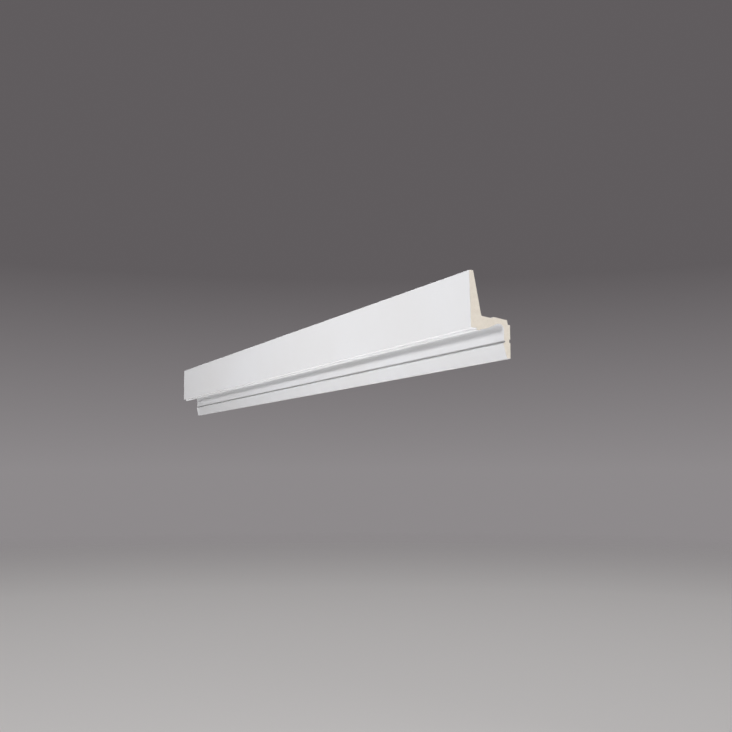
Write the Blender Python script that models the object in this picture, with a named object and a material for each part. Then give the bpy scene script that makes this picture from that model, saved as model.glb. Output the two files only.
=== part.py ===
"""Cornice moulding length of hard foam: a tall lip hides a light trough, and a leg is bonded to the wall.

One end is sawn square and the other is mitred for an inside corner. Metres, +Z up. X runs along the wall,
the wall is the plane Y = 0, and the room is on its -Y side. Z = 0 is the middle of the lower bonding band
on the wall face. The section is set out by two distances: "out" from the wall, and "down" from the ceiling
that the lip touches.
"""

import math

import bmesh
import bpy
from mathutils import Matrix, Vector

# Overall sizes
LENGTH = 1.700
HEIGHT = 0.140
PROJECTION = 0.080
MITRE_ANGLE = math.radians(45)

# Lip that faces the room, and the trough behind it
LIP_TOP_THICKNESS = 0.0080
LIP_INNER_LEAN = 0.0146
FASCIA_HEIGHT = 0.0940
FASCIA_LEAN = 0.0022
TROUGH_DEPTH = 0.0734

# Trough floor, from the lip back to the wall
STRIP_BED_WIDTH = 0.0202
STRIP_BED_FALL = 0.0022
RIB_RISE = 0.0023
RIB_RUN = 0.0037
SHELF_FALL = 0.0031
SHELF_WALL_GAP = 0.0060
LEDGE_DROP = 0.0078
LEDGE_WIDTH = 0.0044

# Underside, from the fascia's foot back to the cove
SOFFIT_WIDTH = 0.0105
FILLET_DROP = 0.0034
FILLET_WIDTH = 0.0070
QUIRK_RISE = 0.0014
QUIRK_RUN = 0.0006
COVE_CEILING = 0.0092
COVE_NOSE_RADIUS = 0.0190
COVE_NOSE_ANGLE = math.radians(30)
COVE_LEG_RADIUS = 0.0090

# Leg that is bonded to the wall
LEG_THICKNESS = 0.0126
LEG_FOOT_THICKNESS = 0.0069
LEG_SWELL_THICKNESS = 0.0143
LEG_SWELL_HEIGHT = 0.0244
LEG_BULGE = 0.0003
GROOVE_DEPTH = 0.0040
GROOVE_BEVEL = 0.0034
GROOVE_LIP = 0.0018
GLUE_NOTCH_FOOT = 0.0260
GLUE_NOTCH_HEIGHT = 0.0055
GLUE_NOTCH_DEPTH = 0.0020

# Making allowances
SAW_ALLOWANCE = 0.020
CUTTER_MARGIN = 0.030
WELD_DISTANCE = 0.000001
COVE_LEG_STEPS = 10
COVE_NOSE_STEPS = 5
NOSE_STEPS = 8
BULGE_STEPS = 5
SHARP_ANGLE = math.radians(25)

# Worked out from the sizes above
MOUNT_DOWN = HEIGHT - GLUE_NOTCH_FOOT / 2
SHELF_BACK_DOWN = TROUGH_DEPTH + STRIP_BED_FALL - RIB_RISE + SHELF_FALL
RIB_OUT = PROJECTION - LIP_TOP_THICKNESS - LIP_INNER_LEAN - STRIP_BED_WIDTH - RIB_RUN


def clear_scene():
    """Removes every object and collection that the file starts with."""
    for item in list(bpy.data.objects):
        bpy.data.objects.remove(item, do_unlink=True)
    for group in list(bpy.data.collections):
        bpy.data.collections.remove(group)


def make_collection(name):
    group = bpy.data.collections.new(name)
    bpy.context.scene.collection.children.link(group)
    return group


def arc(centre, radius, start, end, steps):
    """Points on a circle, from one angle to another; angles turn from outwards towards down."""
    angles = [start + (end - start) * i / steps for i in range(steps + 1)]
    return [(centre[0] + radius * math.cos(a), centre[1] + radius * math.sin(a)) for a in angles]


def bulged_line(start, end, bulge, steps):
    """Points from start to end on a shallow parabola, which stands off the chord by bulge at its middle."""
    run = Vector(end) - Vector(start)
    side = Vector((run.y, -run.x)).normalized()
    points = []
    for i in range(steps + 1):
        share = i / steps
        points.append(tuple(Vector(start) + run * share + side * bulge * 4 * share * (1 - share)))
    return points


def swept_line(start, start_angle, end, steps):
    """Points on the one arc that leaves start at start_angle above the horizontal and reaches end."""
    run = Vector(end) - Vector(start)
    chord_angle = math.atan2(run.y, run.x)
    turn = 2 * (chord_angle - start_angle)
    points = [tuple(start)]
    step_length = run.length * math.sin(turn / 2 / steps) / math.sin(turn / 2)
    for i in range(steps):
        heading = start_angle + turn * (i + 0.5) / steps
        last = points[-1]
        points.append((last[0] + step_length * math.cos(heading), last[1] + step_length * math.sin(heading)))
    return points


def lip_points():
    """The lip's inner face, its top under the ceiling, and the fascia down to its foot."""
    corner_out = PROJECTION - LIP_TOP_THICKNESS - LIP_INNER_LEAN
    return [
        (corner_out, TROUGH_DEPTH),
        (PROJECTION - LIP_TOP_THICKNESS, 0.0),
        (PROJECTION, 0.0),
        (PROJECTION - FASCIA_LEAN, FASCIA_HEIGHT),
    ]


def underside_points():
    """The soffit behind the fascia, a square fillet, a quirk, the nose and the cove, back to the leg."""
    fillet_out = PROJECTION - FASCIA_LEAN - SOFFIT_WIDTH
    fillet_down = FASCIA_HEIGHT + FILLET_DROP
    quirk_out = fillet_out - FILLET_WIDTH
    nose_start = (quirk_out - QUIRK_RUN, fillet_down - QUIRK_RISE)
    crown_out = LEG_THICKNESS + COVE_LEG_RADIUS
    rib_down = TROUGH_DEPTH + STRIP_BED_FALL - RIB_RISE
    shelf_slope = SHELF_FALL / (RIB_OUT - SHELF_WALL_GAP)
    crown_down = rib_down + (RIB_OUT - crown_out) * shelf_slope + COVE_CEILING
    nose_centre = (crown_out, crown_down + COVE_NOSE_RADIUS)
    leg_centre = (crown_out, crown_down + COVE_LEG_RADIUS)
    nose_angle = COVE_NOSE_ANGLE - math.pi / 2
    cove_nose = arc(nose_centre, COVE_NOSE_RADIUS, nose_angle, -math.pi / 2, COVE_NOSE_STEPS)
    cove_leg = arc(leg_centre, COVE_LEG_RADIUS, -math.pi / 2, -math.pi, COVE_LEG_STEPS)
    nose = swept_line(cove_nose[0], COVE_NOSE_ANGLE, nose_start, NOSE_STEPS)
    nose.reverse()
    return [
        (fillet_out, FASCIA_HEIGHT),
        (fillet_out, fillet_down),
        (quirk_out, fillet_down),
        *nose,
        *cove_nose[1:],
        *cove_leg[1:],
    ]


def leg_points():
    """The leg's face with its shadow groove and swelling, the foot, and the wall face with a glue notch."""
    swell_down = HEIGHT - LEG_SWELL_HEIGHT
    groove_down = swell_down - GROOVE_BEVEL
    notch_low = HEIGHT - GLUE_NOTCH_FOOT
    notch_high = notch_low - GLUE_NOTCH_HEIGHT
    swell = (LEG_SWELL_THICKNESS, swell_down)
    foot = (LEG_FOOT_THICKNESS, HEIGHT)
    face = bulged_line(swell, foot, LEG_BULGE, BULGE_STEPS)
    return [
        (LEG_THICKNESS, groove_down - GROOVE_LIP),
        (LEG_SWELL_THICKNESS - GROOVE_DEPTH, groove_down),
        *face,
        (0.0, HEIGHT),
        (0.0, notch_low),
        (GLUE_NOTCH_DEPTH, notch_low),
        (GLUE_NOTCH_DEPTH, notch_high),
        (0.0, notch_high),
    ]


def floor_points():
    """The ledge at the wall, the step up to the shelf, the shelf, its rib and the bed beside the lip."""
    ledge_down = SHELF_BACK_DOWN + LEDGE_DROP
    bed_down = TROUGH_DEPTH + STRIP_BED_FALL
    return [
        (0.0, ledge_down),
        (LEDGE_WIDTH, ledge_down),
        (SHELF_WALL_GAP, SHELF_BACK_DOWN),
        (RIB_OUT, bed_down - RIB_RISE),
        (RIB_OUT + RIB_RUN, bed_down),
    ]


def section_outline():
    """The whole section, once round, as (Y, Z) points: out from the wall is -Y, and down is -Z."""
    outline = lip_points() + underside_points() + leg_points() + floor_points()
    return [(-out, MOUNT_DOWN - down) for out, down in outline]


def make_curve(name, outline, half_length, location):
    """A filled flat curve of the outline, which lies in its own XY plane and is turned to run along X."""
    curve = bpy.data.curves.new(name, "CURVE")
    curve.dimensions = "2D"
    curve.fill_mode = "BOTH"
    curve.extrude = half_length
    spline = curve.splines.new("POLY")
    spline.points.add(len(outline) - 1)
    for point, (y, z) in zip(spline.points, outline):
        point.co = (y, z, 0.0, 1.0)
    spline.use_cyclic_u = True
    item = bpy.data.objects.new(name, curve)
    item.rotation_euler = (math.radians(90), 0.0, math.radians(90))
    item.location = location
    return item


def curve_to_mesh(item, group):
    """Turns a curve into a welded mesh object of the same name and place, and removes the curve."""
    group.objects.link(item)
    bpy.context.view_layer.update()
    evaluated = item.evaluated_get(bpy.context.evaluated_depsgraph_get())
    mesh = bpy.data.meshes.new_from_object(evaluated)
    name = item.name
    place = item.matrix_world.copy()
    bpy.data.objects.remove(item, do_unlink=True)
    shape = bmesh.new()
    shape.from_mesh(mesh)
    bmesh.ops.remove_doubles(shape, verts=shape.verts, dist=WELD_DISTANCE)
    bmesh.ops.recalc_face_normals(shape, faces=shape.faces)
    shape.to_mesh(mesh)
    shape.free()
    mesh.name = name
    solid = bpy.data.objects.new(name, mesh)
    group.objects.link(solid)
    solid.matrix_world = place
    return solid


def make_primed_foam():
    """Hard foam with its factory coat of matt white primer."""
    material = bpy.data.materials.new("primed_foam")
    material.use_nodes = True
    shader = material.node_tree.nodes["Principled BSDF"]
    shader.inputs["Base Color"].default_value = (0.83, 0.83, 0.83, 1.0)
    shader.inputs["Roughness"].default_value = 0.6
    shader.inputs["Metallic"].default_value = 0.0
    return material


def make_mitre_cutter(group):
    """A box whose one face is the mitre plane, through the corner line where the wall face ends."""
    reach = PROJECTION / math.sin(MITRE_ANGLE)
    width = reach + 2 * CUTTER_MARGIN
    depth = PROJECTION * math.cos(MITRE_ANGLE) + SAW_ALLOWANCE * math.sin(MITRE_ANGLE) + CUTTER_MARGIN
    height = HEIGHT + 2 * CUTTER_MARGIN
    bpy.ops.mesh.primitive_cube_add(size=1.0)
    cutter = bpy.context.object
    cutter.name = "mitre_cutter"
    for owner in list(cutter.users_collection):
        owner.objects.unlink(cutter)
    group.objects.link(cutter)
    cutter.data.transform(Matrix.Diagonal((depth, width, height, 1.0)))
    into_stock = Vector((math.sin(MITRE_ANGLE), math.cos(MITRE_ANGLE), 0.0))
    along_cut = Vector((math.cos(MITRE_ANGLE), -math.sin(MITRE_ANGLE), 0.0))
    corner = Vector((-LENGTH / 2, 0.0, MOUNT_DOWN - HEIGHT / 2))
    cutter.location = corner - into_stock * depth / 2 + along_cut * reach / 2
    cutter.rotation_euler = (0.0, 0.0, math.pi / 2 - MITRE_ANGLE)
    cutter.hide_render = True
    cutter.display_type = "WIRE"
    return cutter


def make_moulding(group, cutter):
    """The casting: a straight bar of the section, left long at one end and sawn there to the mitre."""
    stock_length = LENGTH + SAW_ALLOWANCE
    middle = (-SAW_ALLOWANCE / 2, 0.0, 0.0)
    bar = make_curve("cornice_moulding", section_outline(), stock_length / 2, middle)
    solid = curve_to_mesh(bar, group)
    solid.data.shade_smooth()
    solid.data.set_sharp_from_angle(angle=SHARP_ANGLE)
    solid.data.materials.clear()
    solid.data.materials.append(make_primed_foam())
    saw_cut = solid.modifiers.new("saw_cut", "BOOLEAN")
    saw_cut.operation = "DIFFERENCE"
    saw_cut.solver = "EXACT"
    saw_cut.object = cutter
    return solid


def main():
    clear_scene()
    parts = make_collection("cornice_moulding_length")
    cutters = make_collection("cutters")
    cutter = make_mitre_cutter(cutters)
    make_moulding(parts, cutter)


main()
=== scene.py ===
"""Looks of a cornice moulding length: a primed hard-foam casting with a light trough, on a plain stage.

The section is set out by two distances: "out" from the wall, and "down" from the ceiling the lip touches.
In the frame, out is -Y, down is -Z, and the length runs along X with its mitred end at -X.
"""

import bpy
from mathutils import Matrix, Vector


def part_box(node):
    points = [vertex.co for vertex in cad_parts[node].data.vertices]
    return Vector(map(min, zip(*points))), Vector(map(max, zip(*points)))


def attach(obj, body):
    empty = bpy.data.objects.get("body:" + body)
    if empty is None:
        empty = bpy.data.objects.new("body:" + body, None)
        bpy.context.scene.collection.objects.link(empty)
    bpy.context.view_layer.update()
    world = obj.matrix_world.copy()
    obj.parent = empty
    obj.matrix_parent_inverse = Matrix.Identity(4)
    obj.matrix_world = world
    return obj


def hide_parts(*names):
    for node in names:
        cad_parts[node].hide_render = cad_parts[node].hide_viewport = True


bl_info = {
    "name": "Cornice Moulding Length",
    "version": (1, 0, 0),
    "blender": (4, 5, 0),
    "location": "3D View > Sidebar > Cornice",
    "description": "A primed hard-foam cornice length with a light trough, on a plain studio stage",
    "category": "Add Mesh",
}

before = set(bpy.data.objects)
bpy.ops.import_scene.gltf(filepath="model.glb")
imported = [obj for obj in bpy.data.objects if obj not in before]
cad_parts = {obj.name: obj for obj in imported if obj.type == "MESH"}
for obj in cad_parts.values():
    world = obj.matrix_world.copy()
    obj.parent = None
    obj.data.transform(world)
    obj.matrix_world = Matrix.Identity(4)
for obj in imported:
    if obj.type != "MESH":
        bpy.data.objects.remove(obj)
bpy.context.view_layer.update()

import math

import bpy
import numpy as np
from bpy.props import FloatProperty, FloatVectorProperty, PointerProperty
from mathutils import Vector

# The part as the frame gives it
NODE = "cornice_moulding"
BODY = "root"
NODE_LOW, NODE_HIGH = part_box(NODE)

# The photograph's side in pixels, and the camera's sensor in millimetres
PHOTO_SIDE = 732
SENSOR_WIDTH = 36.0

MM = 0.001
QUARTER_TURN = math.pi / 2

# Straight pieces that each curve of the section is cut into
COVE_NOSE_STEPS = 12
COVE_LEG_STEPS = 20
NOSE_STEPS = 18
LEG_STEPS = 12
ARRIS_STEPS = 5

# Greatest share of an edge that the arris at one of its ends may take up
ARRIS_SHARE = 0.45

# How far the painted shade reaches, as multiples of the groove's depth, the quirk's height and the soft
# edge
GROOVE_SHADE_FADE = 0.5
QUIRK_SHADE_FADE = 4.0
FOOT_SHADE_BAND = 0.2

# A point is on the wall face if it lies no further out than the glue notch's depth times this
WALL_MARGIN = 1.01

# Material slots of the casting, and the angle beyond which an edge is shaded sharp
PRIMER_SLOT = 0
FOAM_SLOT = 1
BACK_SLOT = 2
SHARP_ANGLE = math.radians(32)

# Detail of a noise, and the weight of its finer levels
SOFT_DETAIL = 2.0
FINE_DETAIL = 3.0
ROUGH_DETAIL = 4.0
EVEN_WEIGHT = 0.5
ROUGH_WEIGHT = 0.6

# Stretches of a raw value that are mapped to run from 0 to 1
PATCH_RANGE = (0.35, 0.65)
SHEEN_RANGE = (0.3, 0.7)
CELL_RANGE = (0.15, 0.75)
CELL_PATCH_RANGE = (0.35, 0.7)
SKIN_RANGE = (0.05, 0.3)
RIM_SHADOW_RANGE = (0.3, 0.5)
WHOLE_RANGE = (0.0, 1.0)

# Colour sockets of a Mix node, which has others of the same names for other kinds of value
MIX_FIRST = 6
MIX_SECOND = 7
MIX_RESULT = 2

# The floor's grid, and the factors that leave out height when the distance from the middle is taken
FLOOR_RINGS = 24
FLOOR_SPOKES = 96
LEVEL = (1.0, 1.0, 0.0)

# What the lights are turned to: points inside the moulding, one behind it, and the origin
NEAR_MIDDLE = (0.25, -0.05, 0.05)
NEAR_HALF = (0.4, -0.05, 0.05)
SQUARE_END = (0.85, -0.05, 0.05)
BEHIND_WALL_FACE = (0.4, 0.17, 0.0)
ORIGIN = (0.0, 0.0, 0.0)

# Soft lights: side and place in metres, and the spread of the beam in degrees
WIDE = 180.0
LIGHTS = {
    "key": {"side": 0.5, "place": (1.5, -3.8, -0.02), "target": NEAR_MIDDLE, "spread": 70.0},
    "fill": {"side": 2.0, "place": (0.4, -3.5, 3.4), "target": NEAR_MIDDLE, "spread": WIDE},
    "below": {"side": 0.4, "place": (0.4, 0.17, -2.1), "target": BEHIND_WALL_FACE, "spread": WIDE},
    "low": {"side": 0.9, "place": (0.4, 1.15, -1.6), "target": NEAR_HALF, "spread": 90.0},
    "end": {"side": 1.2, "place": (3.7, -0.3, -0.9), "target": SQUARE_END, "spread": 70.0},
    "top": {"side": 20.0, "place": (0.0, -0.5, 30.0), "target": ORIGIN, "spread": WIDE},
    "back": {"side": 2.5, "place": (-1.5, 3.6, 1.6), "target": ORIGIN, "spread": WIDE},
}


def length(name, description, default):
    """A size in metres that a user can change."""
    return FloatProperty(
        name=name, description=description, default=default, min=0.0, precision=5, unit="LENGTH"
    )


def colour(name, description, default):
    """A linear colour that a user can change."""
    return FloatVectorProperty(
        name=name, description=description, default=default, size=3, min=0.0, max=1.0, subtype="COLOR"
    )


def plain(name, description, default, low=0.0):
    """A plain number that a user can change."""
    return FloatProperty(name=name, description=description, default=default, min=low)


def power(name, description, default):
    """A light's power that a user can change."""
    return FloatProperty(name=name, description=description, default=default, min=0.0, unit="POWER")


def angle(name, description, degrees):
    """An angle that a user can change, given here in degrees."""
    return FloatProperty(
        name=name, description=description, default=math.radians(degrees), subtype="ANGLE"
    )


class CorniceSizes(bpy.types.PropertyGroup):
    """Sizes of the casting; the overall ones come from the frame."""

    run: length("Length", "At the wall, to the mitre's long point", NODE_HIGH[0] - NODE_LOW[0])
    height: length("Height", "Ceiling to foot", NODE_HIGH[2] - NODE_LOW[2])
    projection: length("Projection", "Wall to the lip's front", NODE_HIGH[1] - NODE_LOW[1])

    lip_top: length("Lip top", "Thickness of the lip under the ceiling", 8.0 * MM)
    lip_lean: length("Lip lean", "How far the lip's inner face runs back on its way down", 14.6 * MM)
    fascia: length("Fascia", "Height of the flat front", 94.0 * MM)
    fascia_lean: length("Fascia lean", "How far the fascia's foot stands back", 2.2 * MM)
    trough: length("Trough", "Depth of the trough beside the lip", 73.4 * MM)

    bed_width: length("Bed width", "Width of the bed for a light strip", 20.2 * MM)
    bed_fall: length("Bed fall", "Fall of the bed towards the wall", 2.2 * MM)
    rib_rise: length("Rib rise", "Height of the low rib behind the bed", 2.3 * MM)
    rib_run: length("Rib run", "Width of the rib's slope", 3.7 * MM)
    shelf_fall: length("Shelf fall", "Fall of the shelf behind the rib", 3.1 * MM)
    shelf_gap: length("Shelf gap", "Shelf's back edge to the wall", 6.0 * MM)
    ledge_drop: length("Ledge drop", "Shelf's back edge down to the ledge", 7.8 * MM)
    ledge_width: length("Ledge width", "Width of the ledge at the wall", 4.4 * MM)

    soffit: length("Soffit", "Width of the soffit behind the fascia", 10.5 * MM)
    fillet_drop: length("Fillet drop", "Height of the square fillet", 3.4 * MM)
    fillet_width: length("Fillet width", "Width of the fillet's underside", 7.0 * MM)
    quirk_rise: length("Quirk rise", "Height of the quirk behind the fillet", 1.4 * MM)
    quirk_run: length("Quirk run", "Width of the quirk's slope", 0.6 * MM)
    cove_ceiling: length("Cove ceiling", "Thickness of the shelf over the cove's crown", 9.2 * MM)
    cove_nose_radius: length("Cove nose radius", "Radius of the cove on the nose's side", 19.0 * MM)
    cove_nose_angle: angle("Cove nose angle", "Slope where the cove turns over into the nose", 30.0)
    cove_leg_radius: length("Cove leg radius", "Radius of the cove on the leg's side", 9.0 * MM)

    leg: length("Leg", "Thickness of the leg above its groove", 12.6 * MM)
    leg_foot: length("Leg foot", "Thickness of the leg at its foot", 6.9 * MM)
    swell: length("Swell", "Thickness of the leg just below its groove", 14.3 * MM)
    swell_height: length("Swell height", "Foot to the swelling's upper edge", 24.4 * MM)
    bulge: length("Bulge", "How far the lower leg's face stands off a straight line", 0.3 * MM)
    groove_depth: length("Groove depth", "Depth of the shadow groove", 4.0 * MM)
    groove_bevel: length("Groove bevel", "Height of the groove's lower slope", 3.4 * MM)
    groove_lip: length("Groove lip", "Height of the groove's upper slope", 1.8 * MM)
    notch_foot: length("Notch foot", "Foot to the glue notch", 26.0 * MM)
    notch_height: length("Notch height", "Height of the glue notch", 5.5 * MM)
    notch_depth: length("Notch depth", "Depth of the glue notch", 2.0 * MM)

    soft_edge: length("Soft edge", "Radius of the fine arrises left by mould and primer", 0.5 * MM)
    skin: length("Skin", "Thickness of the denser foam under the surface", 0.8 * MM)
    section_step: length("Section step", "Greatest spacing of points round the section", 2.5 * MM)
    run_step: length("Run step", "Greatest spacing of points along the length", 20.0 * MM)


class CorniceArrises(bpy.types.PropertyGroup):
    """Softness of each arris and inner corner, as a multiple of the soft edge."""

    trough: plain("Trough", "Inner corner between the lip and the trough's floor", 3.0)
    lip: plain("Lip", "Both arrises of the lip's top", 1.2)
    fascia: plain("Fascia", "Foot of the fascia", 1.4)
    soffit: plain("Soffit", "Inner corner between the soffit and the fillet", 0.8)
    fillet_front: plain("Fillet front", "Front arris of the fillet", 1.0)
    fillet_back: plain("Fillet back", "Back arris of the fillet", 0.7)
    quirk: plain("Quirk", "Inner corner between the quirk and the nose", 0.3)
    groove_lip: plain("Groove lip", "Upper arris of the shadow groove", 0.8)
    groove: plain("Groove", "Bottom of the shadow groove", 0.5)
    lower_leg: plain("Lower leg", "Upper edge of the swelling, and the front arris of the foot", 1.2)
    foot: plain("Foot", "Back arris of the foot", 0.8)
    notch: plain("Notch", "Arrises and inner corners of the glue notch", 0.6)
    ledge_back: plain("Ledge back", "Arris of the ledge at the wall", 0.8)
    ledge: plain("Ledge", "Inner corner of the ledge", 1.0)
    shelf: plain("Shelf", "Edges of the shelf, its rib and the bed", 1.6)


class CorniceColours(bpy.types.PropertyGroup):
    """Colours of the primer and of the foam."""

    primer: colour("Primer", "Matt white primer", (0.715, 0.723, 0.74))
    primer_thin: colour("Thin primer", "Primer where it lies a little thinner", (0.695, 0.698, 0.706))
    # Painted shade: a dark grey mixed into the primer in the groove, at the quirk and on the foot's
    # underside
    primer_painted_shade: colour("Painted shade", "Painted shade in groove, quirk and on the foot's underside", (0.30, 0.30, 0.305))
    foam: colour("Foam", "Sawn foam", (0.80, 0.745, 0.655))
    foam_cell: colour("Foam cell", "Open cells in the sawn foam", (0.70, 0.64, 0.545))
    foam_skin: colour("Foam skin", "Denser foam close to the surface", (0.86, 0.82, 0.75))
    # Painted shadow: a thin darker line along the coat's edge on the cut faces
    rim_shadow: colour("Rim shadow", "Painted thin shadow along the coat's edge where the saw cut it", (0.58, 0.54, 0.485))
    bare_back: colour("Bare back", "Unprimed wall face", (0.75, 0.69, 0.595))


class CorniceFinish(bpy.types.PropertyGroup):
    """Textures of the primer and of the foam; a texture's scale is per metre."""

    # Painted shade: share of the dark grey mixed into the primer on the foot's underside
    foot_painted_shade: plain("Foot painted shade", "Strength of the painted shade on the foot's underside, 0 to 1", 0.45)
    primer_patch: plain("Primer patches", "Scale of the primer's faint variation", 5.0)
    primer_sheen: plain("Primer sheen", "Scale of the unevenness in the primer's sheen", 60.0)
    primer_smooth: plain("Primer smooth", "Roughness of the primer where it is smoothest", 0.52)
    primer_rough: plain("Primer rough", "Roughness of the primer where it is roughest", 0.62)
    primer_shine: plain("Primer shine", "Specular level of the primer", 0.35)
    spray: plain("Spray", "Scale of the coarser spray texture", 220.0)
    spray_strength: plain("Spray strength", "Strength of the coarser spray texture", 0.10)
    spray_height: length("Spray height", "Height of the coarser spray texture", 0.3 * MM)
    mist: plain("Mist", "Scale of the finer spray texture", 900.0)
    mist_strength: plain("Mist strength", "Strength of the finer spray texture", 0.12)
    mist_height: length("Mist height", "Height of the finer spray texture", 0.1 * MM)

    cell: plain("Cells", "Scale of the foam's cells", 1900.0)
    cell_patch: plain("Cell patches", "Scale of the patches in which cells are open", 160.0)
    cell_strength: plain("Cell strength", "Strength of the open cells", 0.35)
    cell_depth: length("Cell depth", "Depth of the open cells", 0.3 * MM)
    saw: plain("Saw lines", "Scale of the saw lines across their run", 900.0)
    saw_stretch: plain("Saw stretch", "Scale along the saw lines, as a share of that across", 0.06)
    saw_turn: angle("Saw turn", "Lean of the saw lines from upright", 24.0)
    saw_strength: plain("Saw strength", "Strength of the saw lines", 0.25)
    saw_depth: length("Saw depth", "Depth of the saw lines", 0.2 * MM)
    foam_roughness: plain("Foam roughness", "Roughness of the sawn foam", 0.88)
    foam_shine: plain("Foam shine", "Specular level of the sawn foam", 0.2)

    back_patch: plain("Back patches", "Scale of the wall face's blotches", 35.0)
    hatch: plain("Hatch", "Scale of the cross-hatched key", 100.0)
    hatch_waver: plain("Hatch waver", "How unsteady the hatched lines are", 0.4)
    hatch_turn: angle("Hatch turn", "Lean of the hatched lines to either side", 45.0)
    hatch_strength: plain("Hatch strength", "Strength of the hatched lines", 0.3)
    hatch_depth: length("Hatch depth", "Depth of the hatched lines", 0.4 * MM)
    back_roughness: plain("Back roughness", "Roughness of the wall face", 0.7)
    back_shine: plain("Back shine", "Specular level of the wall face", 0.3)


class CorniceStage(bpy.types.PropertyGroup):
    """The camera, the floor and the light."""

    floor_drop: length("Floor drop", "Ceiling down to the floor", 2.5)
    floor_radius: length("Floor radius", "How far the floor is solid before it fades out", 14.0)
    floor_fade: length("Floor fade", "Width of the ring in which it fades out", 14.0)
    floor_colour: colour("Floor colour", "Plain pale floor", (0.74, 0.73, 0.72))
    floor_roughness: plain("Floor roughness", "Roughness of the floor", 0.9)
    floor_shine: plain("Floor shine", "Specular level of the floor", 0.1)
    sky_low: colour("Backdrop low", "Backdrop at the horizon", (0.27, 0.255, 0.262))
    sky_high: colour("Backdrop high", "Backdrop overhead", (0.118, 0.108, 0.113))
    sky_band: plain("Backdrop band", "Sine of the height at which the upper colour is reached", 0.22)
    camera_along: length("Camera along", "Camera beyond the square-cut end", 1.108)
    camera_out: length("Camera out", "Camera out from the wall", 0.860)
    camera_down: length("Camera down", "Camera below the ceiling", 0.319)
    camera_turn: angle("Camera turn", "Turn from facing the wall towards the corner", 61.91)
    camera_tilt: angle("Camera tilt", "Upward tilt", 6.89)
    camera_focus: plain("Camera focus", "Focal length as pixels of the picture's side", 850.9, 1.0)
    key_power: power("Key power", "Soft light at the moulding's own height, before it", 11.5)
    fill_power: power("Fill power", "Soft light before and above", 84.0)
    below_power: power("Below power", "Small soft light under the moulding, at the wall", 7.0)
    low_power: power("Low power", "Soft light low behind, for the soffit and the fillet", 7.0)
    end_power: power("End power", "Soft light low beyond the square-cut end", 8.5)
    top_power: power("Top power", "Wide soft light overhead, for the floor and its bounce", 5700.0)
    back_power: power("Back power", "Soft light on the wall side", 26.0)


def arc(centre, radius, start, end, steps):
    """Points on a circle: centre plus radius times (cos, sin) of evenly spaced angles.

    They are rows (out, down, softness), and the softness is 0.
    """
    turn = np.linspace(start, end, steps + 1)
    out = centre[0] + radius * np.cos(turn)
    down = centre[1] + radius * np.sin(turn)
    return np.stack((out, down, 0 * turn), axis=1)


def swept(start, start_angle, end, steps):
    """Points on the one arc that leaves start at start_angle and reaches end.

    Each step turns by an equal part of twice the angle between the first heading and the chord, so the
    points are the running sum of equal steps along those headings, scaled to end on the chord's end.
    """
    run = np.subtract(end, start)
    turn = 2 * (math.atan2(run[1], run[0]) - start_angle)
    heading = start_angle + turn * (np.arange(steps) + 0.5) / steps
    step = np.stack((np.cos(heading), np.sin(heading)), axis=1)
    step *= np.hypot(*run) / np.hypot(*step.sum(axis=0))
    points = np.vstack((np.zeros((1, 2)), np.cumsum(step, axis=0))) + start
    return np.column_stack((points, np.zeros(steps + 1)))


def bulged(start, end, bulge, steps):
    """Points on a shallow parabola: the chord plus bulge times 4 s (1 - s) at right angles to it."""
    run = np.subtract(end, start)
    side = np.array((run[1], -run[0])) / np.hypot(*run)
    share = np.linspace(0.0, 1.0, steps + 1)[:, None]
    points = start + run * share + side * bulge * 4 * share * (1 - share)
    return np.column_stack((points, np.zeros(steps + 1)))


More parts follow.
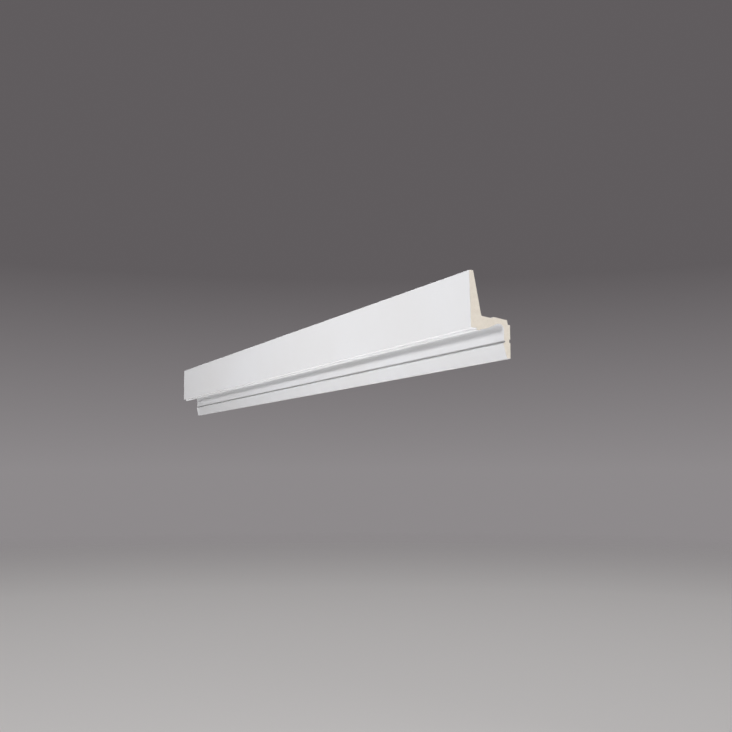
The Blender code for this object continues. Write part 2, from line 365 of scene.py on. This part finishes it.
def section_corners(size, soft):
    """The section once round, as rows (out, down, softness); the softness scales the arris's radius."""
    lip_back = size.projection - size.lip_top
    trough_corner = lip_back - size.lip_lean
    bed_low = trough_corner - size.bed_width
    rib_out = bed_low - size.rib_run
    bed_down = size.trough + size.bed_fall
    rib_down = bed_down - size.rib_rise
    shelf_down = rib_down + size.shelf_fall
    ledge_down = shelf_down + size.ledge_drop
    fascia_out = size.projection - size.fascia_lean
    fillet_out = fascia_out - size.soffit
    fillet_down = size.fascia + size.fillet_drop
    quirk_out = fillet_out - size.fillet_width
    nose_start = (quirk_out - size.quirk_run, fillet_down - size.quirk_rise)
    crown_out = size.leg + size.cove_leg_radius
    crown_share = (rib_out - crown_out) / (rib_out - size.shelf_gap)
    crown_down = rib_down + size.shelf_fall * crown_share + size.cove_ceiling
    swell_down = size.height - size.swell_height
    groove_down = swell_down - size.groove_bevel
    groove_out = size.swell - size.groove_depth
    notch_low = size.height - size.notch_foot
    notch_high = notch_low - size.notch_height

    nose_centre = (crown_out, crown_down + size.cove_nose_radius)
    nose_angle = size.cove_nose_angle - QUARTER_TURN
    cove_nose = arc(nose_centre, size.cove_nose_radius, nose_angle, -QUARTER_TURN, COVE_NOSE_STEPS)
    leg_centre = (crown_out, crown_down + size.cove_leg_radius)
    cove_leg = arc(leg_centre, size.cove_leg_radius, -QUARTER_TURN, -2 * QUARTER_TURN, COVE_LEG_STEPS)
    nose = swept(cove_nose[0, :2], size.cove_nose_angle, nose_start, NOSE_STEPS)[::-1]
    nose[0, 2] = soft.quirk
    lower_leg = bulged((size.swell, swell_down), (size.leg_foot, size.height), size.bulge, LEG_STEPS)
    lower_leg[0, 2] = soft.lower_leg
    lower_leg[-1, 2] = soft.lower_leg
    lip = [
        (trough_corner, size.trough, soft.trough),
        (lip_back, 0.0, soft.lip),
        (size.projection, 0.0, soft.lip),
        (fascia_out, size.fascia, soft.fascia),
        (fillet_out, size.fascia, soft.soffit),
        (fillet_out, fillet_down, soft.fillet_front),
        (quirk_out, fillet_down, soft.fillet_back),
    ]
    groove = [
        (size.leg, groove_down - size.groove_lip, soft.groove_lip),
        (groove_out, groove_down, soft.groove),
    ]
    back = [
        (0.0, size.height, soft.foot),
        (0.0, notch_low, soft.notch),
        (size.notch_depth, notch_low, soft.notch),
        (size.notch_depth, notch_high, soft.notch),
        (0.0, notch_high, soft.notch),
        (0.0, ledge_down, soft.ledge_back),
        (size.ledge_width, ledge_down, soft.ledge),
        (size.shelf_gap, shelf_down, soft.shelf),
        (rib_out, rib_down, soft.shelf),
        (bed_low, bed_down, soft.shelf),
    ]
    return np.vstack((lip, nose, cove_nose[1:], cove_leg[1:], groove, lower_leg, back))


def inset(points, distance):
    """The closed outline moved inwards: each point goes along the sum of its two edges' inward normals.

    The sum is divided by one plus the cosine between the normals, so both edges move by the distance.
    """
    following = np.roll(points, -1, axis=0)
    ahead = following - points
    normal = np.stack((-ahead[:, 1], ahead[:, 0]), axis=1) / np.hypot(ahead[:, 0], ahead[:, 1])[:, None]
    before = np.roll(normal, 1, axis=0)
    widening = 1 + (normal * before).sum(axis=1, keepdims=True)
    area = np.sum(points[:, 0] * following[:, 1] - points[:, 1] * following[:, 0])
    return points + math.copysign(distance, area) * (normal + before) / widening


def softened(points, radius, steps):
    """The outline with its corners rounded.

    A corner P between neighbours A and B becomes the curve (1 - s)^2 P' + 2 s (1 - s) P + s^2 P'', where
    P' and P'' lie at the radius from P towards A and B, or at an edge's greatest share if that is less.
    """
    back = np.roll(points, 1, axis=0) - points
    ahead = np.roll(points, -1, axis=0) - points
    back_length = np.hypot(back[:, 0], back[:, 1])
    ahead_length = np.hypot(ahead[:, 0], ahead[:, 1])
    back_reach = np.minimum(radius, ARRIS_SHARE * back_length)
    ahead_reach = np.minimum(radius, ARRIS_SHARE * ahead_length)
    start = points + back * (back_reach / back_length)[:, None]
    end = points + ahead * (ahead_reach / ahead_length)[:, None]
    s = np.linspace(0.0, 1.0, steps + 1)[None, :, None]
    curve = (1 - s) ** 2 * start[:, None] + 2 * s * (1 - s) * points[:, None] + s ** 2 * end[:, None]
    kept = (radius[:, None] > 0) | (np.arange(steps + 1) == 0)[None, :]
    return curve[kept]


def spread_counts(points, spacing):
    """How many equal parts each edge of the outline is cut into, so none is longer than spacing."""
    ahead = np.roll(points, -1, axis=0) - points
    return np.maximum(1, np.ceil(np.hypot(ahead[:, 0], ahead[:, 1]) / spacing)).astype(int)


def spread(points, counts):
    """The outline with each edge cut into n equal parts: its start plus the edge times 0, 1/n, 2/n ..."""
    ahead = np.roll(points, -1, axis=0) - points
    edge = np.repeat(np.arange(len(points)), counts)
    first = np.repeat(np.cumsum(counts) - counts, counts)
    share = (np.arange(len(edge)) - first) / counts[edge]
    return points[edge] + ahead[edge] * share[:, None]


def section_rings(size, arrises):
    """The soft-edged outline of the section, and the same outline inset by the skin, point for point."""
    corners = section_corners(size, arrises)
    sharp = corners[:, :2]
    radius = corners[:, 2] * size.soft_edge
    outer = softened(sharp, radius, ARRIS_STEPS)
    inner = softened(inset(sharp, size.skin), radius, ARRIS_STEPS)
    counts = spread_counts(outer, size.section_step)
    return spread(outer, counts), spread(inner, counts)


def painted_shade_of(ring, size, foot_painted_shade):
    """How much painted shade each point has, from 0 to 1, in the shadow groove, at the quirk and on the
    foot's underside.

    In the groove it is the point's distance behind the line that would bridge it, over a share of the
    groove's depth. At the quirk it falls from 1 to 0 over a few times the quirk's height. On the foot's
    underside it is even.
    """
    out = ring[:, 0]
    down = ring[:, 1]
    swell_down = size.height - size.swell_height
    lip_down = swell_down - size.groove_bevel - size.groove_lip
    bridge = np.interp(down, (lip_down, swell_down), (size.leg, size.swell))
    inside = (down > lip_down) & (down < swell_down) & (out > size.leg_foot)
    behind = np.clip((bridge - out) / (GROOVE_SHADE_FADE * size.groove_depth), 0.0, 1.0)
    groove = np.where(inside, behind, 0.0)
    quirk_out = size.projection - size.fascia_lean - size.soffit - size.fillet_width - size.quirk_run
    quirk_down = size.fascia + size.fillet_drop - size.quirk_rise
    away = np.hypot(out - quirk_out, down - quirk_down)
    quirk = np.clip(1.0 - away / (QUIRK_SHADE_FADE * size.quirk_rise), 0.0, 1.0)
    # Painted shade: the foot's underside is darkened evenly
    foot = np.where(down > size.height - FOOT_SHADE_BAND * size.soft_edge, foot_painted_shade, 0.0)
    return np.maximum(np.maximum(groove, foot), quirk)


def placed(ring, along, ceiling):
    """Points of the section in the frame: X is along, Y is -out, and Z is the ceiling less down."""
    return np.stack((along, -ring[:, 0] + 0 * along, ceiling - ring[:, 1] + 0 * along), axis=-1)


def casting_mesh(size, arrises, foot_painted_shade, name):
    """The casting: the section carried along X, with a ring of skin on each of its two cut faces.

    A point of the section at (out, down) lies at Y = -out and Z = ceiling - down. In X it runs in equal
    steps from the mitre plane, which is the low end plus out, to the square end.
    """
    outer, inner = section_rings(size, arrises)
    count = len(outer)
    low = NODE_LOW[0]
    high = low + size.run
    ceiling = NODE_LOW[2] + size.height
    stations = int(math.ceil(size.run / size.run_step)) + 1
    share = np.linspace(0.0, 1.0, stations)[:, None]
    along = (low + outer[:, 0]) * (1 - share) + high * share
    sides = placed(outer, along, ceiling).reshape(-1, 3)
    mitre_inner = placed(inner, low + inner[:, 0], ceiling)
    square_inner = placed(inner, np.full(count, high), ceiling)
    points = np.vstack((sides, mitre_inner, square_inner))

    ring = np.arange(count)
    after = np.roll(ring, -1)
    step = (np.arange(stations - 1) * count)[:, None]
    side_corners = (step + ring, step + after, step + count + after, step + count + ring)
    side_faces = np.stack(side_corners, axis=-1).reshape(-1, 4)
    last = (stations - 1) * count
    mitre_ring = last + count
    square_ring = mitre_ring + count
    mitre_skin = np.stack((after, ring, mitre_ring + ring, mitre_ring + after), axis=1)
    square_skin = np.stack((last + ring, last + after, square_ring + after, square_ring + ring), axis=1)
    faces = [*side_faces.tolist(), *mitre_skin.tolist(), *square_skin.tolist()]
    faces += [(mitre_ring + ring[::-1]).tolist(), (square_ring + ring).tolist()]

    on_wall = (outer[:, 0] < size.notch_depth * WALL_MARGIN) & (outer[:, 1] > size.trough)
    bare = on_wall & np.roll(on_wall, -1)
    side_slots = np.tile(np.where(bare, BACK_SLOT, PRIMER_SLOT), stations - 1)
    cut_slots = np.full(len(faces) - len(side_slots), FOAM_SLOT)
    slots = np.concatenate((side_slots, cut_slots))

    mesh = bpy.data.meshes.new(name)
    mesh.from_pydata(points.tolist(), [], faces)
    mesh.polygons.foreach_set("material_index", slots.astype(np.int32))
    skin = np.zeros(len(points), dtype=np.float32)
    skin[: len(sides)] = 1.0
    # Painted shade: how much of the dark grey each point of the sides takes, in the groove, at the quirk
    # and on the foot's underside
    recess = np.zeros(len(points), dtype=np.float32)
    recess[: len(sides)] = np.tile(painted_shade_of(outer, size, foot_painted_shade), stations)
    mesh.attributes.new("skin", "FLOAT", "POINT").data.foreach_set("value", skin)
    mesh.attributes.new("recess", "FLOAT", "POINT").data.foreach_set("value", recess)
    mesh.validate()
    mesh.update()
    return mesh


def add_node(tree, kind, **values):
    """A shader node with its values set, on the input socket of that name or else as a property."""
    node = tree.nodes.new(kind)
    for key, value in values.items():
        if key in node.inputs:
            node.inputs[key].default_value = value
        else:
            setattr(node, key, value)
    return node


def new_material(name):
    """A new node material, with its tree and its shader."""
    material = bpy.data.materials.new(name)
    material.use_nodes = True
    tree = material.node_tree
    shader = tree.nodes["Principled BSDF"]
    return material, tree, shader


def set_sheen(shader, roughness, shine):
    """Sets the shader's even roughness and its specular level."""
    shader.inputs["Roughness"].default_value = roughness
    shader.inputs["Specular IOR Level"].default_value = shine


def own_place(tree):
    """The object's own coordinates."""
    return add_node(tree, "ShaderNodeTexCoord").outputs["Object"]


def stored(tree, name):
    """A number that the mesh stores for each of its points."""
    return add_node(tree, "ShaderNodeAttribute", attribute_name=name).outputs["Fac"]


def mixed(tree, factor, first, second):
    """A mix of two colours, each a plain colour or a socket."""
    node = add_node(tree, "ShaderNodeMix", data_type="RGBA")
    tree.links.new(factor, node.inputs["Factor"])
    for socket, value in ((node.inputs[MIX_FIRST], first), (node.inputs[MIX_SECOND], second)):
        if isinstance(value, bpy.types.NodeSocket):
            tree.links.new(value, socket)
        else:
            socket.default_value = (*value, 1.0)
    return node.outputs[MIX_RESULT]


def noise(tree, place, scale, detail=SOFT_DETAIL, weight=EVEN_WEIGHT):
    """A noise of the given scale per metre."""
    node = add_node(tree, "ShaderNodeTexNoise", Scale=scale, Detail=detail, Roughness=weight)
    tree.links.new(place, node.inputs["Vector"])
    return node.outputs["Fac"]


def ranged(tree, value, old_range, new_range=WHOLE_RANGE):
    """A value mapped from one range to another, and held inside it."""
    node = add_node(tree, "ShaderNodeMapRange", clamp=True)
    sockets = ("From Min", "From Max", "To Min", "To Max")
    for socket, number in zip(sockets, (*old_range, *new_range)):
        node.inputs[socket].default_value = number
    tree.links.new(value, node.inputs["Value"])
    return node.outputs["Result"]


def bumped(tree, shader, height, strength, distance, under=None):
    """Drives the shader's normal from a height, over an earlier bump if there is one."""
    node = add_node(tree, "ShaderNodeBump", Strength=strength, Distance=distance)
    tree.links.new(height, node.inputs["Height"])
    if under is not None:
        tree.links.new(under.outputs["Normal"], node.inputs["Normal"])
    tree.links.new(node.outputs["Normal"], shader.inputs["Normal"])
    return node


def primer_material(colours, finish):
    """Matt white primer: faint broad variation, painted shade in the groove, at the quirk and on the
    foot's underside, a fine spray texture and an uneven sheen.
    """
    material, tree, shader = new_material("matt_primer")
    place = own_place(tree)
    patch = ranged(tree, noise(tree, place, finish.primer_patch, FINE_DETAIL), PATCH_RANGE)
    coat = mixed(tree, patch, colours.primer, colours.primer_thin)
    # Painted shade: the primer is darkened towards a dark grey in the groove, at the quirk and on the
    # foot's underside
    recess = stored(tree, "recess")
    tree.links.new(mixed(tree, recess, coat, colours.primer_painted_shade), shader.inputs["Base Color"])
    uneven = noise(tree, place, finish.primer_sheen, FINE_DETAIL)
    sheen = ranged(tree, uneven, SHEEN_RANGE, (finish.primer_smooth, finish.primer_rough))
    tree.links.new(sheen, shader.inputs["Roughness"])
    spray = noise(tree, place, finish.spray)
    coarse = bumped(tree, shader, spray, finish.spray_strength, finish.spray_height)
    mist = noise(tree, place, finish.mist, FINE_DETAIL)
    bumped(tree, shader, mist, finish.mist_strength, finish.mist_height, coarse)
    shader.inputs["Specular IOR Level"].default_value = finish.primer_shine
    return material


def foam_material(colours, finish):
    """Sawn foam: fine cells, faint saw lines across the cut, a denser, paler skin along its edge, and a
    painted thin shadow at the very edge.
    """
    material, tree, shader = new_material("sawn_foam")
    place = own_place(tree)
    cells = add_node(tree, "ShaderNodeTexVoronoi", Scale=finish.cell)
    tree.links.new(place, cells.inputs["Vector"])
    cell = ranged(tree, cells.outputs["Distance"], CELL_RANGE)
    patches = noise(tree, place, finish.cell_patch, ROUGH_DETAIL, ROUGH_WEIGHT)
    patch = ranged(tree, patches, CELL_PATCH_RANGE)
    product = add_node(tree, "ShaderNodeMath", operation="MULTIPLY")
    tree.links.new(cell, product.inputs[0])
    tree.links.new(patch, product.inputs[1])
    open_cell = product.outputs[0]
    core = mixed(tree, open_cell, colours.foam, colours.foam_cell)
    skin = stored(tree, "skin")
    dense = mixed(tree, ranged(tree, skin, SKIN_RANGE), core, colours.foam_skin)
    # Painted shadow: the outermost part of the skin band on the cut faces is darkened
    cut = mixed(tree, ranged(tree, skin, RIM_SHADOW_RANGE), dense, colours.rim_shadow)
    tree.links.new(cut, shader.inputs["Base Color"])
    saw = add_node(tree, "ShaderNodeMapping")
    saw.inputs["Rotation"].default_value = (finish.saw_turn, 0.0, 0.0)
    saw.inputs["Scale"].default_value = (1.0, 1.0, finish.saw_stretch)
    tree.links.new(place, saw.inputs["Vector"])
    lines = noise(tree, saw.outputs["Vector"], finish.saw)
    under = bumped(tree, shader, lines, finish.saw_strength, finish.saw_depth)
    pits = bumped(tree, shader, open_cell, finish.cell_strength, finish.cell_depth, under)
    pits.invert = True
    set_sheen(shader, finish.foam_roughness, finish.foam_shine)
    return material


def back_material(colours, finish):
    """Bare foam as it leaves the mould: a smooth skin with a fine cross-hatched key for the adhesive."""
    material, tree, shader = new_material("bare_foam_back")
    place = own_place(tree)
    blotches = noise(tree, place, finish.back_patch, ROUGH_DETAIL, ROUGH_WEIGHT)
    blotch = ranged(tree, blotches, PATCH_RANGE)
    tree.links.new(mixed(tree, blotch, colours.bare_back, colours.foam), shader.inputs["Base Color"])
    under = None
    for turn in (finish.hatch_turn, -finish.hatch_turn):
        turned = add_node(tree, "ShaderNodeMapping")
        turned.inputs["Rotation"].default_value = (0.0, turn, 0.0)
        tree.links.new(place, turned.inputs["Vector"])
        hatch = add_node(tree, "ShaderNodeTexWave", Scale=finish.hatch, Distortion=finish.hatch_waver)
        tree.links.new(turned.outputs["Vector"], hatch.inputs["Vector"])
        lines = hatch.outputs["Fac"]
        under = bumped(tree, shader, lines, finish.hatch_strength, finish.hatch_depth, under)
    set_sheen(shader, finish.back_roughness, finish.back_shine)
    return material


def floor_mesh(stage, name):
    """A flat round floor: points at radius times (cos, sin) of an angle, and one face at its middle."""
    radius = np.linspace(0.0, stage.floor_radius + stage.floor_fade, FLOOR_RINGS + 1)[1:, None]
    turn = np.linspace(0.0, 4 * QUARTER_TURN, FLOOR_SPOKES, endpoint=False)[None, :]
    height = NODE_HIGH[2] - stage.floor_drop
    flat = (radius * np.cos(turn), radius * np.sin(turn), height + 0 * radius * turn)
    points = np.stack(flat, axis=-1)
    spoke = np.arange(FLOOR_SPOKES)
    after = np.roll(spoke, -1)
    step = (np.arange(FLOOR_RINGS - 1) * FLOOR_SPOKES)[:, None]
    corners = (step + spoke, step + FLOOR_SPOKES + spoke, step + FLOOR_SPOKES + after, step + after)
    quads = np.stack(corners, axis=-1).reshape(-1, 4)
    mesh = bpy.data.meshes.new(name)
    mesh.from_pydata(points.reshape(-1, 3).tolist(), [], [*quads.tolist(), spoke.tolist()])
    mesh.update()
    return mesh


def floor_material(stage):
    """Plain pale floor that fades out with its distance from the middle."""
    material, tree, shader = new_material("pale_floor")
    shader.inputs["Base Color"].default_value = (*stage.floor_colour, 1.0)
    set_sheen(shader, stage.floor_roughness, stage.floor_shine)
    flat = add_node(tree, "ShaderNodeVectorMath", operation="MULTIPLY")
    flat.inputs[1].default_value = LEVEL
    tree.links.new(own_place(tree), flat.inputs[0])
    far = add_node(tree, "ShaderNodeVectorMath", operation="LENGTH")
    tree.links.new(flat.outputs["Vector"], far.inputs[0])
    ring = (stage.floor_radius, stage.floor_radius + stage.floor_fade)
    fade = ranged(tree, far.outputs["Value"], ring)
    clear = add_node(tree, "ShaderNodeBsdfTransparent")
    blend = add_node(tree, "ShaderNodeMixShader")
    tree.links.new(fade, blend.inputs["Fac"])
    tree.links.new(shader.outputs[0], blend.inputs[1])
    tree.links.new(clear.outputs[0], blend.inputs[2])
    tree.links.new(blend.outputs[0], tree.nodes["Material Output"].inputs["Surface"])
    return material


def make_backdrop(stage):
    """A plain grey surround, a little lighter at the horizon than overhead."""
    world = bpy.data.worlds.new("plain_surround")
    world.use_nodes = True
    bpy.context.scene.world = world
    tree = world.node_tree
    way = add_node(tree, "ShaderNodeTexCoord").outputs["Generated"]
    split = add_node(tree, "ShaderNodeSeparateXYZ")
    tree.links.new(way, split.inputs["Vector"])
    rise = ranged(tree, split.outputs["Z"], (0.0, stage.sky_band))
    shade = mixed(tree, rise, stage.sky_low, stage.sky_high)
    tree.links.new(shade, tree.nodes["Background"].inputs["Color"])


def soft_light(name, watts, side, place, target, spread):
    """A square soft light that is turned to the target and isn't seen itself; spread is in degrees."""
    lamp = bpy.data.lights.new(name, "AREA")
    lamp.energy = watts
    lamp.size = side
    lamp.spread = math.radians(spread)
    item = bpy.data.objects.new(name, lamp)
    item.location = place
    item.rotation_euler = (Vector(target) - Vector(place)).to_track_quat("-Z", "Y").to_euler()
    item.visible_camera = False
    bpy.context.scene.collection.objects.link(item)


class CORNICE_OT_camera(bpy.types.Operator):
    """Places the camera at the photograph's viewing angle"""

    bl_idname = "cornice.camera"
    bl_label = "Camera"

    def execute(self, context):
        stage = context.scene.cornice_stage
        lens = bpy.data.cameras.new("camera")
        lens.sensor_width = SENSOR_WIDTH
        lens.lens = stage.camera_focus / PHOTO_SIDE * SENSOR_WIDTH
        item = bpy.data.objects.new("camera", lens)
        along = NODE_HIGH[0] + stage.camera_along
        height = NODE_HIGH[2] - stage.camera_down
        item.location = (along, -stage.camera_out, height)
        item.rotation_euler = (QUARTER_TURN + stage.camera_tilt, 0.0, stage.camera_turn)
        context.scene.collection.objects.link(item)
        context.scene.camera = item
        return {"FINISHED"}


class CORNICE_OT_casting(bpy.types.Operator):
    """Makes the primed foam casting in the place of its solid"""

    bl_idname = "cornice.casting"
    bl_label = "Casting"

    def execute(self, context):
        scene = context.scene
        colours = scene.cornice_colours
        finish = scene.cornice_finish
        mesh = casting_mesh(scene.cornice_sizes, scene.cornice_arrises, finish.foot_painted_shade, "moulding")
        mesh.materials.append(primer_material(colours, finish))
        mesh.materials.append(foam_material(colours, finish))
        mesh.materials.append(back_material(colours, finish))
        mesh.shade_smooth()
        mesh.set_sharp_from_angle(angle=SHARP_ANGLE)
        piece = bpy.data.objects.new("moulding", mesh)
        scene.collection.objects.link(piece)
        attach(piece, BODY)
        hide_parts(NODE)
        return {"FINISHED"}


class CORNICE_OT_stage(bpy.types.Operator):
    """Makes the floor, the surround and the soft lights"""

    bl_idname = "cornice.stage"
    bl_label = "Stage"

    def execute(self, context):
        stage = context.scene.cornice_stage
        floor = bpy.data.objects.new("floor", floor_mesh(stage, "floor"))
        floor.data.materials.append(floor_material(stage))
        context.scene.collection.objects.link(floor)
        make_backdrop(stage)
        for name, setting in LIGHTS.items():
            soft_light(name, getattr(stage, name + "_power"), **setting)
        context.scene.view_settings.view_transform = "Standard"
        return {"FINISHED"}


class CORNICE_PT_panel(bpy.types.Panel):
    """The steps that make the moulding and its stage, and the values they use"""

    bl_label = "Cornice"
    bl_idname = "CORNICE_PT_panel"
    bl_space_type = "VIEW_3D"
    bl_region_type = "UI"
    bl_category = "Cornice"

    def draw(self, context):
        for step in STEPS:
            self.layout.operator(step.bl_idname)
        for name in GROUPS:
            group = getattr(context.scene, name)
            box = self.layout.box()
            for value in group.__annotations__:
                box.prop(group, value)


STEPS = (CORNICE_OT_camera, CORNICE_OT_casting, CORNICE_OT_stage)
GROUPS = {
    "cornice_sizes": CorniceSizes,
    "cornice_arrises": CorniceArrises,
    "cornice_colours": CorniceColours,
    "cornice_finish": CorniceFinish,
    "cornice_stage": CorniceStage,
}
CLASSES = (*GROUPS.values(), *STEPS, CORNICE_PT_panel)


def register():
    for item in CLASSES:
        bpy.utils.register_class(item)
    for name, group in GROUPS.items():
        setattr(bpy.types.Scene, name, PointerProperty(type=group))


def unregister():
    for name in GROUPS:
        delattr(bpy.types.Scene, name)
    for item in reversed(CLASSES):
        bpy.utils.unregister_class(item)


def main():
    register()
    bpy.ops.cornice.camera()
    bpy.ops.cornice.casting()
    bpy.ops.cornice.stage()


if __name__ == "__main__":
    main()
